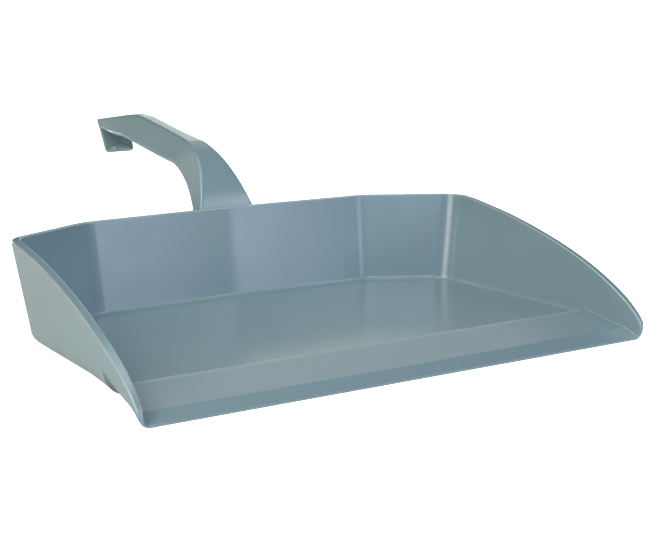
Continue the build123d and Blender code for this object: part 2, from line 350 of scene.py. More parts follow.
def section(stop, row, rim_up, rim_turn, inset):
    """Points of the section at one stop, from the middle of the underside to that of the floor."""
    lean, climb_up = sin(wall_draft * stop.lean), cos(wall_draft * stop.lean)

    def at(distance, up, side):
        rounding = stop.rounds[side]
        place = stop.corner + stop.spread * (distance - rounding) + stop.out * rounding
        return Vector((place.x, place.y, up))

    def on_wall(climb, slide, depth, side):
        place = at(climb * lean - depth * climb_up, climb * climb_up + depth * lean, side)
        return place + Vector((stop.along.x, stop.along.y, 0)) * slide

    low = under_at(row) + inset * lip_pinch
    top = floor_at(row) - inset * lip_pinch
    room = rim_up - inset - rim_round
    heel = min(heel_at(row), (room - low) * heel_most)
    thick = wall_at(row)
    cove = min(cove_at(row), (room - top) * cove_most)
    heel_out = (low + heel) * lean / climb_up - (heel + inset) / climb_up
    cove_out = (top + cove) * lean / climb_up - (thick - inset + cove) / climb_up
    round_here = min(rim_round, thick / 2 - inset)
    climb = (rim_up - inset) / climb_up

    heel_line = []
    for share in arc_steps(heel_steps):
        angle = -pi / 2 + (pi / 2 - wall_draft) * share
        up = low + heel + heel * sin(angle)
        heel_line.append(at(heel_out + heel * cos(angle), up, OUTSIDE))
    rim_outside, rim_inside = [], []
    for share in arc_steps(rim_steps):
        angle = pi / 2 * share
        down = round_here * (1 - sin(angle))
        depth = inset + round_here * (1 - cos(angle))
        height, slide = climb - down * cos(rim_turn), down * sin(rim_turn)
        rim_outside.append(on_wall(height, slide, depth, OUTSIDE))
        rim_inside.append(on_wall(height, slide, thick - depth, INSIDE))
    cove_line = []
    for share in arc_steps(cove_steps):
        angle = -wall_draft - (pi / 2 - wall_draft) * share
        up = top + cove + cove * sin(angle)
        cove_line.append(at(cove_out + cove * cos(angle), up, INSIDE))
    under_middle, floor_middle = Vector((0, row, low)), Vector((0, row, top))
    under_line = [under_middle.lerp(heel_line[0], share) for share in under_shares]
    outside = [heel_line[-1].lerp(rim_outside[0], share) for share in wall_shares]
    inside = [rim_inside[0].lerp(cove_line[0], share) for share in wall_shares]
    floor_line = [cove_line[-1].lerp(floor_middle, share) for share in floor_shares]

    to_rim = under_line + heel_line + outside
    to_floor = inside + cove_line
    line = to_rim + rim_outside + rim_inside[::-1] + to_floor + floor_line
    # Painted highlight: the rim's two rounded edges and the floor points near the crest get a share
    # of paler colour.
    near_crest = max(1 - abs(row - crest_back + crest_highlight_ahead) / crest_highlight_reach, 0)
    rubbed = [0.0] * len(to_rim) + edge_highlight + edge_highlight + [0.0] * len(to_floor)
    rubbed += [crest_highlight * near_crest] * len(floor_line)
    return line, rubbed


sample, _ = section(back_stops[0], past_back, rim_height, 0, 0)
print(len(sample), "points in a section")

# %% [markdown]
# ## Stops along the sides
# Even rows would waste faces where the pan is flat and miss its bends. So the rows crowd together
# where the surface turns quickly, at the lip, the break of the ramp, the crest and its foot, and
# lie far apart where it is nearly flat. A first few at the front draw the section in a little, so
# the front edge of the lip and of the two noses is rounded and not cut off.

# %% Rows from the lip to the corner
cove_reach = 7.1
corner_run = 8.4
corner_start = corner_back - corner_run - sin(side_flare) * cove_reach
front_round, front_steps = 0.6, 8
nose_run, nose_steps = 7, 9
step_run = 0.25
step_end = crest_back + 2 * step_run
# Start, end and number of rows of each run.
row_runs = [
    (break_back - break_ease, break_back + break_ease, 4),
    (break_back + break_ease, crest_back - crest_ease, 9),
    (crest_back - crest_ease, crest_back, 3),
    (crest_back, step_end, 2),
    (step_end, foot_back - foot_ease, 5),
    (foot_back - foot_ease, foot_back + foot_ease, 5),
    (foot_back + foot_ease, corner_start, 22),
]


def between(start, end, count):
    """Even stops from a start up to an end, without the end."""
    return [start + (end - start) * step / count for step in range(count)]


def quarter_round(radius, steps):
    """Way along and inset of the points that round off an end."""
    angles = [pi / 2 * share for share in arc_steps(steps)]
    return [(radius * (1 - cos(angle)), radius * (1 - sin(angle))) for angle in angles]


rows = [front_round + nose_run * share**2 for share in arc_steps(nose_steps)][1:]
for start, end, count in row_runs:
    rows += between(start, end, count)
side_rows = quarter_round(front_round, front_steps) + [(row, 0.0) for row in rows]
print(len(side_rows), "rows along each side")

# %% [markdown]
# ## Sections in order
# The sections go from the left nose round the back to the right nose. Along a side each one stands
# square to the flaring wall, but at the nose it turns square to the pan, so that the front is flat.

# %% All sections of the pan
nose_ease = 8.0
rim_turn_ease = 2.5
slope_probe = 0.2
lean_start = 60


def held(value):
    """Value held between 0 and 1."""
    return min(max(value, 0), 1)


def side_section(hand, row, inset):
    """Section at one row of a side wall, hand -1 for the left wall and 1 for the right."""
    share = held(row / nose_ease)
    yaw = side_flare * share * share * (3 - 2 * share)
    out = Vector((hand * cos(yaw), sin(yaw)))
    along = Vector((-hand * sin(side_flare), cos(side_flare)))
    back = row + sin(yaw) * cove_reach
    spot = Vector((hand * (half_mouth - tan(side_flare) * back), back))
    high = back + sin(yaw) * rim_at(back) * sin(wall_draft)
    slope = (rim_at(high + slope_probe) - rim_at(high - slope_probe)) / (2 * slope_probe)
    turn = atan(slope * cos(side_flare) / cos(wall_draft)) * held(row / rim_turn_ease)
    lean = 1 + (corner_lean - 1) * held((row - lean_start) / (corner_start - lean_start))**2
    return section(Stop(spot, out, out, along, (0, 0), lean), row, rim_at(high), turn, inset)


sections = [side_section(-1, row, inset) for row, inset in side_rows]
sections += [section(stop, corner_start, rim_height, 0, 0) for stop in back_stops]
sections += [side_section(1, row, inset) for row, inset in reversed(side_rows)]
print(len(sections), "sections from nose to nose")

# %% [markdown]
# ## The pan moulding
# Each section is joined to the next one by quads. The middle points of opposite sections fall on
# the same place, so merging doubles closes the floor and the underside, and one face closes each
# front end. Weighted normals keep the large flat faces flat up to their soft edges.

# %% Build the pan
CM3_IN_M3 = 1e6
same_place, sliver = 1e-7, 1e-8


def even_normals(piece, **settings):
    """Let the large faces of a piece lead the shading of their edges."""
    even = piece.modifiers.new("even_normals", "WEIGHTED_NORMAL")
    for name, value in settings.items():
        setattr(even, name, value)


pan_mesh = bpy.data.meshes.new("pan_moulding")
work = bmesh.new()
# Each point carries its share of painted highlight as an attribute.
highlight_layer = work.verts.layers.float.new("rubbed")
grid = []
for line, rubbed in sections:
    verts = [work.verts.new(placed(*point)) for point in line]
    for vert, value in zip(verts, rubbed):
        vert[highlight_layer] = value
    grid.append(verts)
for first, second in zip(grid, grid[1:]):
    for index in range(len(first) - 1):
        work.faces.new((first[index], first[index + 1], second[index + 1], second[index]))
work.faces.new(grid[0])
work.faces.new(reversed(grid[-1]))
bmesh.ops.remove_doubles(work, verts=work.verts, dist=same_place)
bmesh.ops.dissolve_degenerate(work, edges=work.edges, dist=sliver)
bmesh.ops.recalc_face_normals(work, faces=work.faces)
for face in work.faces:
    face.smooth = True
open_edges = sum(1 for edge in work.edges if not edge.is_manifold)
volume = round(work.calc_volume() * CM3_IN_M3, 1)
print(len(work.faces), "faces in the pan,", open_edges, "open edges, volume", volume, "cm3")
work.to_mesh(pan_mesh)
work.free()
pan = in_scene("pan_moulding", pan_mesh)
even_normals(pan, weight=70)

# %% [markdown]
# ## The ridge of the handle
# The top of the handle is one line seen from the side: up the back wall, over a wide bend, along
# the grip with a slight rise, and down over a second bend to the hook. Where the bend meets the
# flat top of the grip there is a faint crease. First come the corners of that line, from the lean
# of the wall, the rise of the grip and the place of the tip.

# %% Corners of the ridge
rear = back_reach + rim_height * tan(wall_draft)
wall_middle = back_reach - wall / cos(wall_draft) / 2
wall_rise = pi / 2 - wall_draft
grip_rise = radians(7.5)
handle_foot = 24
bend_radius, crest_radius = 55, 78
hook_lean = radians(27)
hook_wall = 2.0


def seen_from_side(angle):
    """Direction in the side view, back and up, that rises at an angle."""
    return Vector((cos(angle), sin(angle)))


ridge_crest = Vector((rear + 109, 101.2))
ridge_tip = Vector((rear + 153.58, 94))
ridge_foot = Vector((wall_middle + tan(wall_draft) * handle_foot, handle_foot))
up_wall, up_grip = seen_from_side(wall_rise), seen_from_side(grip_rise)
foot_to_bend = (ridge_crest - ridge_foot).cross(up_grip) / up_wall.cross(up_grip)
ridge_bend = ridge_foot + up_wall * foot_to_bend
bend_turn = wall_rise - grip_rise
bend_start = ridge_bend - up_wall * bend_radius * tan(bend_turn / 2)
bend_centre = bend_start + seen_from_side(wall_rise - pi / 2) * bend_radius
hook_forward = Vector((-cos(hook_lean), sin(hook_lean)))
hook_down = Vector((-sin(hook_lean), -cos(hook_lean)))
tip_forward = (ridge_crest - ridge_tip).normalized()
hook_start = ridge_tip + tip_forward * (hook_wall / tip_forward.dot(hook_forward))
print(f"the ridge bends by {bend_turn * 180 / pi:.1f} degrees from the wall to the grip")

# %% [markdown]
# A poly curve carries the line to Geometry Nodes. Its points lie close together where the line
# turns, because the handle gets one section at each of them. The bend stops a little early, at a
# slope that is steeper than the grip's, and that is what leaves the crease.

# %% Ridge curve
crease_rise = radians(14.5)
crease_half = 0.25
foot_steps, bend_steps, grip_steps, crest_steps, tip_steps = 4, 30, 12, 16, 12


def rounded(before, corner, after, radius, steps):
    """Arc of a radius that rounds the corner between two points."""
    start = (before - corner).normalized()
    end = (after - corner).normalized()
    turn = pi - start.angle(end)
    centre = corner + (start + end).normalized() * radius / cos(turn / 2)
    first = corner + start * radius * tan(turn / 2) - centre
    last = corner + end * radius * tan(turn / 2) - centre
    return [
        centre + (first * sin(turn * (1 - share)) + last * sin(turn * share)) / sin(turn)
        for share in arc_steps(steps)
    ]


def run_between(start, end, steps):
    """Even points between two ends, without the ends."""
    return [start.lerp(end, step / steps) for step in range(1, steps)]


bend_rises = [wall_rise + (crease_rise - wall_rise) * share for share in arc_steps(bend_steps)]
bend_line = [bend_centre + seen_from_side(rise + pi / 2) * bend_radius for rise in bend_rises]
crease = bend_line[-1]
to_crest = (ridge_crest - crease).normalized()
bend_line[-1] = crease - seen_from_side(crease_rise) * crease_half
grip_start = crease + to_crest * crease_half
crest_line = rounded(crease, ridge_crest, hook_start, crest_radius, crest_steps)
ridge_line = [ridge_foot, *run_between(ridge_foot, bend_start, foot_steps), *bend_line]
ridge_line += [grip_start, *run_between(grip_start, crest_line[0], grip_steps), *crest_line]
ridge_line += [*run_between(crest_line[-1], hook_start, tip_steps), hook_start]
ridge_curve = bpy.data.curves.new("ridge", "CURVE")
ridge_curve.dimensions = "3D"
spline = ridge_curve.splines.new("POLY")
spline.points.add(len(ridge_line) - 1)
for point, place in zip(spline.points, ridge_line):
    point.co = (*placed(0, place.x, place.y), 1)
handle_path = in_scene("handle_path", ridge_curve)
print(f"ridge {spline.calc_length():.4f} m with {len(ridge_line)} points")

# %% [markdown]
# ## Small helpers for node trees
# A node tree written in a script gets long quickly. These helpers add a node, set or link its
# inputs, and give back an output, so the rules further down read almost like sums.

# %% Node helpers
def add_node(tree, kind, inputs=(), **settings):
    """New node with its settings made and its inputs, given by name or number, set or linked."""
    node = tree.nodes.new(kind)
    for name, value in settings.items():
        setattr(node, name, value)
    for key, value in dict(inputs).items():
        if isinstance(value, bpy.types.NodeSocket):
            tree.links.new(value, node.inputs[key])
        else:
            node.inputs[key].default_value = value
    return node


def calc(tree, operation, *values, clamp=False):
    """Result of one step of arithmetic."""
    settings = {"operation": operation, "use_clamp": clamp}
    return add_node(tree, "ShaderNodeMath", enumerate(values), **settings).outputs[0]


def vec(tree, operation, *values):
    """Result of one step of vector arithmetic, a number for a length."""
    node = add_node(tree, "ShaderNodeVectorMath", enumerate(values), operation=operation)
    return node.outputs["Value" if operation == "LENGTH" else "Vector"]


def scaled(tree, vector, factor):
    """Vector made longer or shorter by a factor."""
    inputs = {0: vector, "Scale": factor}
    return add_node(tree, "ShaderNodeVectorMath", inputs, operation="SCALE").outputs[0]


print("helpers:", ", ".join(helper.__name__ for helper in (add_node, calc, vec, scaled)))

# %% [markdown]
# ## The handle as a rule
# Across the ridge the handle is a hollow channel: a narrow top, two flanks that spread to a wider
# hem, and the same again inside. Widths and depth follow from the distance along the ridge: broad
# and flat where the handle leaves the wall, narrow and deep at the grip, broad and shallow again
# at the hook. It could be sculpted or lofted by hand, but Geometry Nodes suit it better: a grid of
# points is laid out by that rule, and every size stays a named input of the tree.

# %% Inputs of the handle's tree
handle_tree = bpy.data.node_groups.new("channel_handle", "GeometryNodeTree")
# Sizes in millimetres.
handle_sizes = {
    "Root width": 35.5, "Root hem": 38.6, "Root depth": 7.0, "Foot depth": 3.0,
    "Ridge width": 8.8, "Grip hem": 27.5, "Grip depth": 13.0,
    "Hook width": 21.5, "Tip depth": 6.2,
    "Rim run": 32.0, "Neck run": 112.0, "Spread length": 54.2,
    "Skin": 3.0, "Wall": 2.8, "Edge reach": 1.8, "Hole": 5.5,
}
handle_inputs = {"Geometry": "NodeSocketGeometry", "Corner steps": "NodeSocketInt"}
handle_inputs |= dict.fromkeys(handle_sizes, "NodeSocketFloat")
handle_inputs |= dict.fromkeys(("Hook down", "Hole place", "Hole axis"), "NodeSocketVector")
handle_inputs |= {"Material": "NodeSocketMaterial"}
for name, kind in handle_inputs.items():
    handle_tree.interface.new_socket(name, in_out="INPUT", socket_type=kind)
handle_tree.interface.new_socket("Geometry", in_out="OUTPUT", socket_type="NodeSocketGeometry")
print(len(handle_inputs), "inputs in the handle's tree")

# %% [markdown]
# The grid has one row of points, a station, for each point of the ridge, and one more at each end.
# A point's number says which station it is in and which slot it takes round the channel.

# %% Stations and slots of the grid
tree = handle_tree
given = add_node(tree, "NodeGroupInput").outputs
ridge, steps = given["Geometry"], given["Corner steps"]
length = add_node(tree, "GeometryNodeCurveLength", {0: ridge}).outputs[0]
ridge_size = add_node(tree, "GeometryNodeAttributeDomainSize", {0: ridge}, component="CURVE")
points = ridge_size.outputs["Point Count"]
index = add_node(tree, "GeometryNodeInputIndex").outputs[0]
stations = calc(tree, "ADD", points, 2.0)
station = calc(tree, "MODULO", index, stations)
slot = calc(tree, "FLOOR", calc(tree, "DIVIDE", index, stations))
from_first = calc(tree, "MAXIMUM", calc(tree, "SUBTRACT", station, 1.0), 0.0)
number = calc(tree, "MINIMUM", from_first, calc(tree, "SUBTRACT", points, 1.0))


def on_ridge(value, kind):
    """Value that the ridge has at the point that belongs to a station."""
    inputs = {"Geometry": ridge, "Value": value, "Index": number}
    settings = {"data_type": kind, "domain": "POINT"}
    return add_node(tree, "GeometryNodeSampleIndex", inputs, **settings).outputs[0]


run = on_ridge(add_node(tree, "GeometryNodeSplineParameter").outputs["Length"], "FLOAT")
print(len(tree.nodes), "nodes number the grid")

# %% [markdown]
# The rule for widths and depth is the one that shaped the solids: the flare of the root dies out at
# the neck, and the spread towards the hook begins just before the hole.

# %% Widths and depth along the handle
def blend_of(base, root, hook):
    """Size at a station: the grip's, changed by the root's flare and the spread to the hook."""
    with_root = calc(tree, "MULTIPLY_ADD", calc(tree, "SUBTRACT", root, base), flare, base)
    return calc(tree, "MULTIPLY_ADD", calc(tree, "SUBTRACT", hook, base), spread, with_root)


def less_at_foot(size, above, below):
    """Size that loses the difference between two others towards the foot of the handle."""
    loss = calc(tree, "MULTIPLY", calc(tree, "SUBTRACT", above, below), fallen)
    return calc(tree, "SUBTRACT", size, loss)


rim_run, neck_run = given["Rim run"], given["Neck run"]
root_width, root_hem, root_depth = given["Root width"], given["Root hem"], given["Root depth"]
hook_width = given["Hook width"]
fallen = calc(tree, "SUBTRACT", 1.0, calc(tree, "DIVIDE", run, rim_run, clamp=True))
neck_left = calc(tree, "SUBTRACT", neck_run, run)
neck_length = calc(tree, "SUBTRACT", neck_run, rim_run)
flare = calc(tree, "POWER", calc(tree, "DIVIDE", neck_left, neck_length, clamp=True), 2.0)
end_left = calc(tree, "SUBTRACT", length, run)
before_spread = calc(tree, "DIVIDE", end_left, given["Spread length"], clamp=True)
spread = calc(tree, "POWER", calc(tree, "SUBTRACT", 1.0, before_spread), 2.0)
top_width = blend_of(given["Ridge width"], root_width, hook_width)
hem_width = less_at_foot(blend_of(given["Grip hem"], root_hem, hook_width), root_hem, root_width)
full_depth = blend_of(given["Grip depth"], root_depth, given["Tip depth"])
depth = less_at_foot(full_depth, root_depth, given["Foot depth"])
print(len(tree.nodes), "nodes, now with the widths and the depth")

# %% [markdown]
# Four corners describe each half of the channel, two outside and two inside. The foot on the wall
# is solid, and the channel opens just above the rim. The hem is cut square to the leaning flank, so
# its lower face looks outwards a little.

# %% Corners of the channel
hollow_ease = 12 * MM
half_top = calc(tree, "MULTIPLY", top_width, 0.5)
half_hem = calc(tree, "MULTIPLY", hem_width, 0.5)
flank_lean = calc(tree, "DIVIDE", calc(tree, "SUBTRACT", half_hem, half_top), depth)
flank_slant = calc(tree, "SQRT", calc(tree, "MULTIPLY_ADD", flank_lean, flank_lean, 1.0))
flank_wall = calc(tree, "MULTIPLY", given["Wall"], flank_slant)
hollow_end = calc(tree, "ADD", rim_run, hollow_ease)
hollow_range = {"Value": run, "From Min": rim_run, "From Max": hollow_end}
opening = add_node(tree, "ShaderNodeMapRange", hollow_range, interpolation_type="SMOOTHSTEP")
hollow = opening.outputs[0]
ceiling = calc(tree, "MULTIPLY_ADD", calc(tree, "SUBTRACT", given["Skin"], depth), hollow, depth)
flank_sine = calc(tree, "SINE", calc(tree, "ARCTANGENT", flank_lean))
hem_cut = calc(tree, "MULTIPLY", given["Wall"], calc(tree, "MULTIPLY", hollow, flank_sine))
hem_inside = calc(tree, "SUBTRACT", half_hem, flank_wall)
inner_hem = calc(tree, "MULTIPLY_ADD", flank_lean, hem_cut, hem_inside)
inner_depth = calc(tree, "ADD", depth, hem_cut)
outer_at_ceiling = calc(tree, "MULTIPLY_ADD", flank_lean, ceiling, half_top)
inner_top = calc(tree, "SUBTRACT", outer_at_ceiling, flank_wall)

right_places = [
    (half_top, 0.0), (half_hem, depth), (inner_hem, inner_depth), (inner_top, ceiling),
]
right_corners = [
    add_node(tree, "ShaderNodeCombineXYZ", {0: across, 1: down}).outputs[0]
    for across, down in right_places
]
left_corners = [vec(tree, "MULTIPLY", corner, (-1.0, 1.0, 1.0)) for corner in right_corners]
corners = [left_corners[1], left_corners[0], *right_corners, left_corners[3], left_corners[2]]
print(len(corners), "corners round the channel")

# %% [markdown]
# Each corner is softened by a short curve between its two neighbours, so the edge keeps the same
# softness however the widths change along the handle. The first and the last station are gathered
# to a point, which closes the two ends.

# %% Soft edges and closed ends
edge_most = 0.48


def corner_of(number):
    """Corner of the channel by its number, counted round and round."""
    switch = add_node(tree, "GeometryNodeIndexSwitch", data_type="VECTOR")
    while len(switch.index_switch_items) < len(corners):
        switch.index_switch_items.new()
    tree.links.new(calc(tree, "MODULO", number, float(len(corners))), switch.inputs["Index"])
    for place, corner in enumerate(corners):
        tree.links.new(corner, switch.inputs[place + 1])
    return switch.outputs[0]


corner = calc(tree, "FLOOR", calc(tree, "DIVIDE", slot, steps))
here = corner_of(corner)
last_step = calc(tree, "SUBTRACT", steps, 1.0)
turn_share = calc(tree, "DIVIDE", calc(tree, "MODULO", slot, steps), last_step)
spot = here
one_before = float(len(corners) - 1)
for neighbour, pull in ((one_before, calc(tree, "SUBTRACT", 1.0, turn_share)), (1.0, turn_share)):
    way = vec(tree, "SUBTRACT", corner_of(calc(tree, "ADD", corner, neighbour)), here)
    farthest = calc(tree, "MULTIPLY", vec(tree, "LENGTH", way), edge_most)
    reach = calc(tree, "MINIMUM", given["Edge reach"], farthest)
    amount = calc(tree, "MULTIPLY", reach, calc(tree, "POWER", pull, 2.0))
    spot = vec(tree, "ADD", spot, scaled(tree, vec(tree, "NORMALIZE", way), amount))
after_first = calc(tree, "GREATER_THAN", station, 0.5)
before_last = calc(tree, "LESS_THAN", station, calc(tree, "SUBTRACT", stations, 1.5))
inner_station = calc(tree, "MULTIPLY", after_first, before_last)
middle = calc(tree, "MULTIPLY", depth, 0.5)
gather = add_node(tree, "ShaderNodeCombineXYZ", {1: middle}).outputs[0]
from_gather = scaled(tree, vec(tree, "SUBTRACT", spot, gather), inner_station)
spot = vec(tree, "ADD", gather, from_gather)
print(len(tree.nodes), "nodes, now with the soft edges")

# %% [markdown]
# The grid is laid along the ridge, leaning over to the slant of the hook near its end. Blurring the
# ridge's direction spreads the crease on the top over a longer stretch of the flanks, which are
# smooth on the real handle. The seam of the grid is merged.

# %% Lay the grid along the ridge
ease_rounds = 200
seam_gap = 1e-6


def enabled_vector(sockets):
    """Socket that a node with many data types shows for vectors."""
    return next(socket for socket in sockets if socket.enabled and socket.type == "VECTOR")


tangent = add_node(tree, "GeometryNodeInputTangent").outputs[0]
eased = add_node(tree, "GeometryNodeBlurAttribute", data_type="FLOAT_VECTOR")
tree.links.new(tangent, enabled_vector(eased.inputs))
eased.inputs["Iterations"].default_value = ease_rounds
direction = on_ridge(enabled_vector(eased.outputs), "FLOAT_VECTOR")
square = vec(tree, "NORMALIZE", vec(tree, "CROSS_PRODUCT", direction, (1.0, 0.0, 0.0)))
leaning = vec(tree, "SUBTRACT", given["Hook down"], square)
into = vec(tree, "ADD", square, scaled(tree, leaning, spread))
ridge_place = on_ridge(add_node(tree, "GeometryNodeInputPosition").outputs[0], "FLOAT_VECTOR")
across, down, _ = add_node(tree, "ShaderNodeSeparateXYZ", {0: spot}).outputs
sideways = add_node(tree, "ShaderNodeCombineXYZ", {0: across}).outputs[0]
place = vec(tree, "ADD", vec(tree, "ADD", ridge_place, sideways), scaled(tree, into, down))
slots = calc(tree, "MULTIPLY_ADD", steps, float(len(corners)), 1.0)
sheet_size = {"Vertices X": slots, "Vertices Y": stations}
sheet = add_node(tree, "GeometryNodeMeshGrid", sheet_size).outputs["Mesh"]
laying = {"Geometry": sheet, "Position": place}
laid = add_node(tree, "GeometryNodeSetPosition", laying).outputs[0]
merging = {"Geometry": laid, "Distance": seam_gap}
closed = add_node(tree, "GeometryNodeMergeByDistance", merging).outputs[0]
closed = add_node(tree, "GeometryNodeFlipFaces", {"Mesh": closed}).outputs[0]
print(len(tree.nodes), "nodes, now with the closed channel")

# %% [markdown]
# A small cylinder cuts the hole that the pan hangs by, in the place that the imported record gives
# for that mount. The tree ends in Realize Instances and Set Material, because only real faces with
# a material of their own are exported.

# %% Cut the hole and end the tree
hole_sides = 40
drill_skins = 4.0
aim = {"Vector": given["Hole axis"]}
hole_turn = add_node(tree, "FunctionNodeAlignRotationToVector", aim, axis="Z").outputs[0]
drill = add_node(tree, "GeometryNodeMeshCylinder", {
    "Vertices": hole_sides,
    "Radius": calc(tree, "MULTIPLY", given["Hole"], 0.5),
    "Depth": calc(tree, "MULTIPLY", given["Skin"], drill_skins),
}).outputs["Mesh"]
aimed = {"Geometry": drill, "Translation": given["Hole place"], "Rotation": hole_turn}
drill = add_node(tree, "GeometryNodeTransform", aimed).outputs[0]
cut = add_node(
    tree, "GeometryNodeMeshBoolean", {"Mesh 1": closed, "Mesh 2": drill},
    operation="DIFFERENCE", solver="EXACT",
).outputs["Mesh"]
smooth = add_node(tree, "GeometryNodeSetShadeSmooth", {"Geometry": cut}).outputs[0]
whole = add_node(tree, "GeometryNodeRealizeInstances", {"Geometry": smooth}).outputs[0]
coat = {"Geometry": whole, "Material": given["Material"]}
coated = add_node(tree, "GeometryNodeSetMaterial", coat).outputs[0]
add_node(tree, "NodeGroupOutput", {0: coated})
print(len(tree.nodes), "nodes in the handle's tree")

# %% [markdown]
# ## The moulded face
# The pan is moulded in one blue-grey plastic with a satin face. Up close such a face is never quite
# even: it has a fine grain from the mould and faint clouds where the melt flowed. The group also
# paints a paler colour along the rim edges and the crest, a painted highlight for the light lines
# that they catch. An image could show all this, but noise on the object's own coordinates needs no
# unwrapping. One group gives it as a colour, a roughness and a height.

# %% Group for the moulded face
MIX_FIRST, MIX_SECOND, MIX_RESULT = 6, 7, 2
noise_low, noise_high = 0.3, 0.7
# Strength and paler colour of the painted highlight on the rim edges and the crest.
highlight_strength = 1.1
painted_highlight_colour = (0.5, 0.58, 0.6, 1)
smoothest, roughest = 0.22, 0.265
face_group = bpy.data.node_groups.new("moulded_face", "ShaderNodeTree")
face_inputs = {"Deep": "NodeSocketColor", "Pale": "NodeSocketColor", "Rubbed": "NodeSocketFloat"}
face_outputs = {
    "Colour": "NodeSocketColor", "Roughness": "NodeSocketFloat", "Height": "NodeSocketFloat",
}
for in_out, sockets in (("INPUT", face_inputs), ("OUTPUT", face_outputs)):
    for name, kind in sockets.items():
        face_group.interface.new_socket(name, in_out=in_out, socket_type=kind)
asked = add_node(face_group, "NodeGroupInput").outputs
where = add_node(face_group, "ShaderNodeTexCoord").outputs["Object"]


def noise(scale, detail):
    """Noise in the object's own coordinates."""
    inputs = {"Vector": where, "Scale": scale, "Detail": detail}
    return add_node(face_group, "ShaderNodeTexNoise", inputs).outputs[0]


def stretched(value, low, high):
    """Noise stretched from its usual range to another one."""
    inputs = {"Value": value, "From Min": noise_low, "From Max": noise_high}
    inputs |= {"To Min": low, "To Max": high}
    return add_node(face_group, "ShaderNodeMapRange", inputs).outputs[0]


def mix_of(share, first, second):
    """Colour between two others."""
    inputs = {"Factor": share, MIX_FIRST: first, MIX_SECOND: second}
    return add_node(face_group, "ShaderNodeMix", inputs, data_type="RGBA").outputs[MIX_RESULT]


clouds = noise(scale=9.0, detail=3.0)
grain = noise(scale=1400.0, detail=1.0)
smears = noise(scale=60.0, detail=4.0)
clouded = mix_of(stretched(clouds, 0.0, 1.0), asked["Deep"], asked["Pale"])
# Painted highlight: a paler colour mixed in by the mesh's share, made uneven by the smears.
uneven_highlight = calc(face_group, "MULTIPLY", smears, highlight_strength)
highlight_share = calc(face_group, "MULTIPLY", asked["Rubbed"], uneven_highlight)
with_painted_highlight = mix_of(highlight_share, clouded, painted_highlight_colour)
rough = stretched(smears, smoothest, roughest)
add_node(face_group, "NodeGroupOutput", {"Colour": with_painted_highlight, "Roughness": rough, "Height": grain})
print(len(face_group.nodes), "nodes in the moulded face")

# %% [markdown]
# ## The plastic
# The material places that group, tells it how deep and how pale the plastic is, and hands it the
# share of painted highlight that the pan's mesh carries as an attribute. A light bump makes the
# grain catch the light.
# The face is a little shinier than plain plastic, which is one number on the shader's own socket.

# %% Material
plastic = bpy.data.materials.new("blue_grey_plastic")
plastic.use_nodes = True
plastic_tree = plastic.node_tree
plastic_tree.nodes.clear()
# The share of painted highlight comes from the pan mesh's attribute.
highlight_mask = add_node(plastic_tree, "ShaderNodeAttribute", attribute_name="rubbed").outputs["Fac"]
moulded = add_node(plastic_tree, "ShaderNodeGroup", node_tree=face_group)
moulded.inputs["Deep"].default_value = (0.215, 0.315, 0.36, 1)
moulded.inputs["Pale"].default_value = (0.235, 0.335, 0.375, 1)
plastic_tree.links.new(highlight_mask, moulded.inputs["Rubbed"])
bump = add_node(plastic_tree, "ShaderNodeBump", {
    "Height": moulded.outputs["Height"], "Strength": 0.06, "Distance": 0.0003,
})
shader = add_node(plastic_tree, "ShaderNodeBsdfPrincipled", {
    "Base Color": moulded.outputs["Colour"],
    "Roughness": moulded.outputs["Roughness"],
    "Normal": bump.outputs[0],
    "Specular IOR Level": 0.9,
})
add_node(plastic_tree, "ShaderNodeOutputMaterial", {"Surface": shader.outputs[0]})
pan_mesh.materials.append(plastic)
print(len(plastic_tree.nodes), "nodes in the plastic")

# %% [markdown]
# ## From the tree to a plain mesh
# A live modifier would still depend on the curve, so the result is taken as a plain mesh and the
# curve that carried the tree is removed. The inputs are set by their identifiers, before the tree
# is first run.

# %% Handle mesh
growth = handle_path.modifiers.new("channel_handle", "NODES")
growth.node_group = handle_tree
hang_hole = next(mount for mount in frame["record"]["mounts"] if mount["name"] == "hang_hole")
settings = {name: value * MM for name, value in handle_sizes.items()}
settings |= {"Corner steps": 6, "Material": plastic, "Hook down": turned(0, *hook_down)}
settings |= {"Hole place": hang_hole["pos_m"], "Hole axis": hang_hole["axis"]}
for socket in handle_tree.interface.items_tree:
    if socket.in_out == "INPUT" and socket.name in settings:
        growth[socket.identifier] = settings[socket.name]
bpy.context.view_layer.update()
grown = handle_path.evaluated_get(bpy.context.evaluated_depsgraph_get())
handle_mesh = bpy.data.meshes.new_from_object(grown)
handle_mesh.name = "handle"
bpy.data.objects.remove(handle_path)


def settle(mesh_data, sharp):
    """Merge doubles, turn the faces outwards and keep only bends over some degrees sharp."""
    work = bmesh.new()
    work.from_mesh(mesh_data)
    bmesh.ops.remove_doubles(work, verts=work.verts, dist=same_place)
    bmesh.ops.recalc_face_normals(work, faces=work.faces)
    for face in work.faces:
        face.smooth = True
    loose = sum(1 for edge in work.edges if not edge.is_manifold)
    volume = round(work.calc_volume() * CM3_IN_M3, 2)
    print(mesh_data.name, len(work.faces), "faces,", loose, "open edges, volume", volume, "cm3")
    work.to_mesh(mesh_data)
    work.free()
    mesh_data.set_sharp_from_angle(angle=radians(sharp))


settle(handle_mesh, sharp=40)
handle = in_scene("handle", handle_mesh)
even_normals(handle, keep_sharp=True)

# %% [markdown]
# ## The hook
# The handle ends in a thin plate that hangs down behind the hand, with a rounded toe that swells
# forward at its lower edge. A cube with bevels would not give that swelling. So the hook is a stack
# of flat loops, from the ridge down to the lower edge: each loop goes round the plate, and the
# front of the lower loops bulges by the shape of the toe.

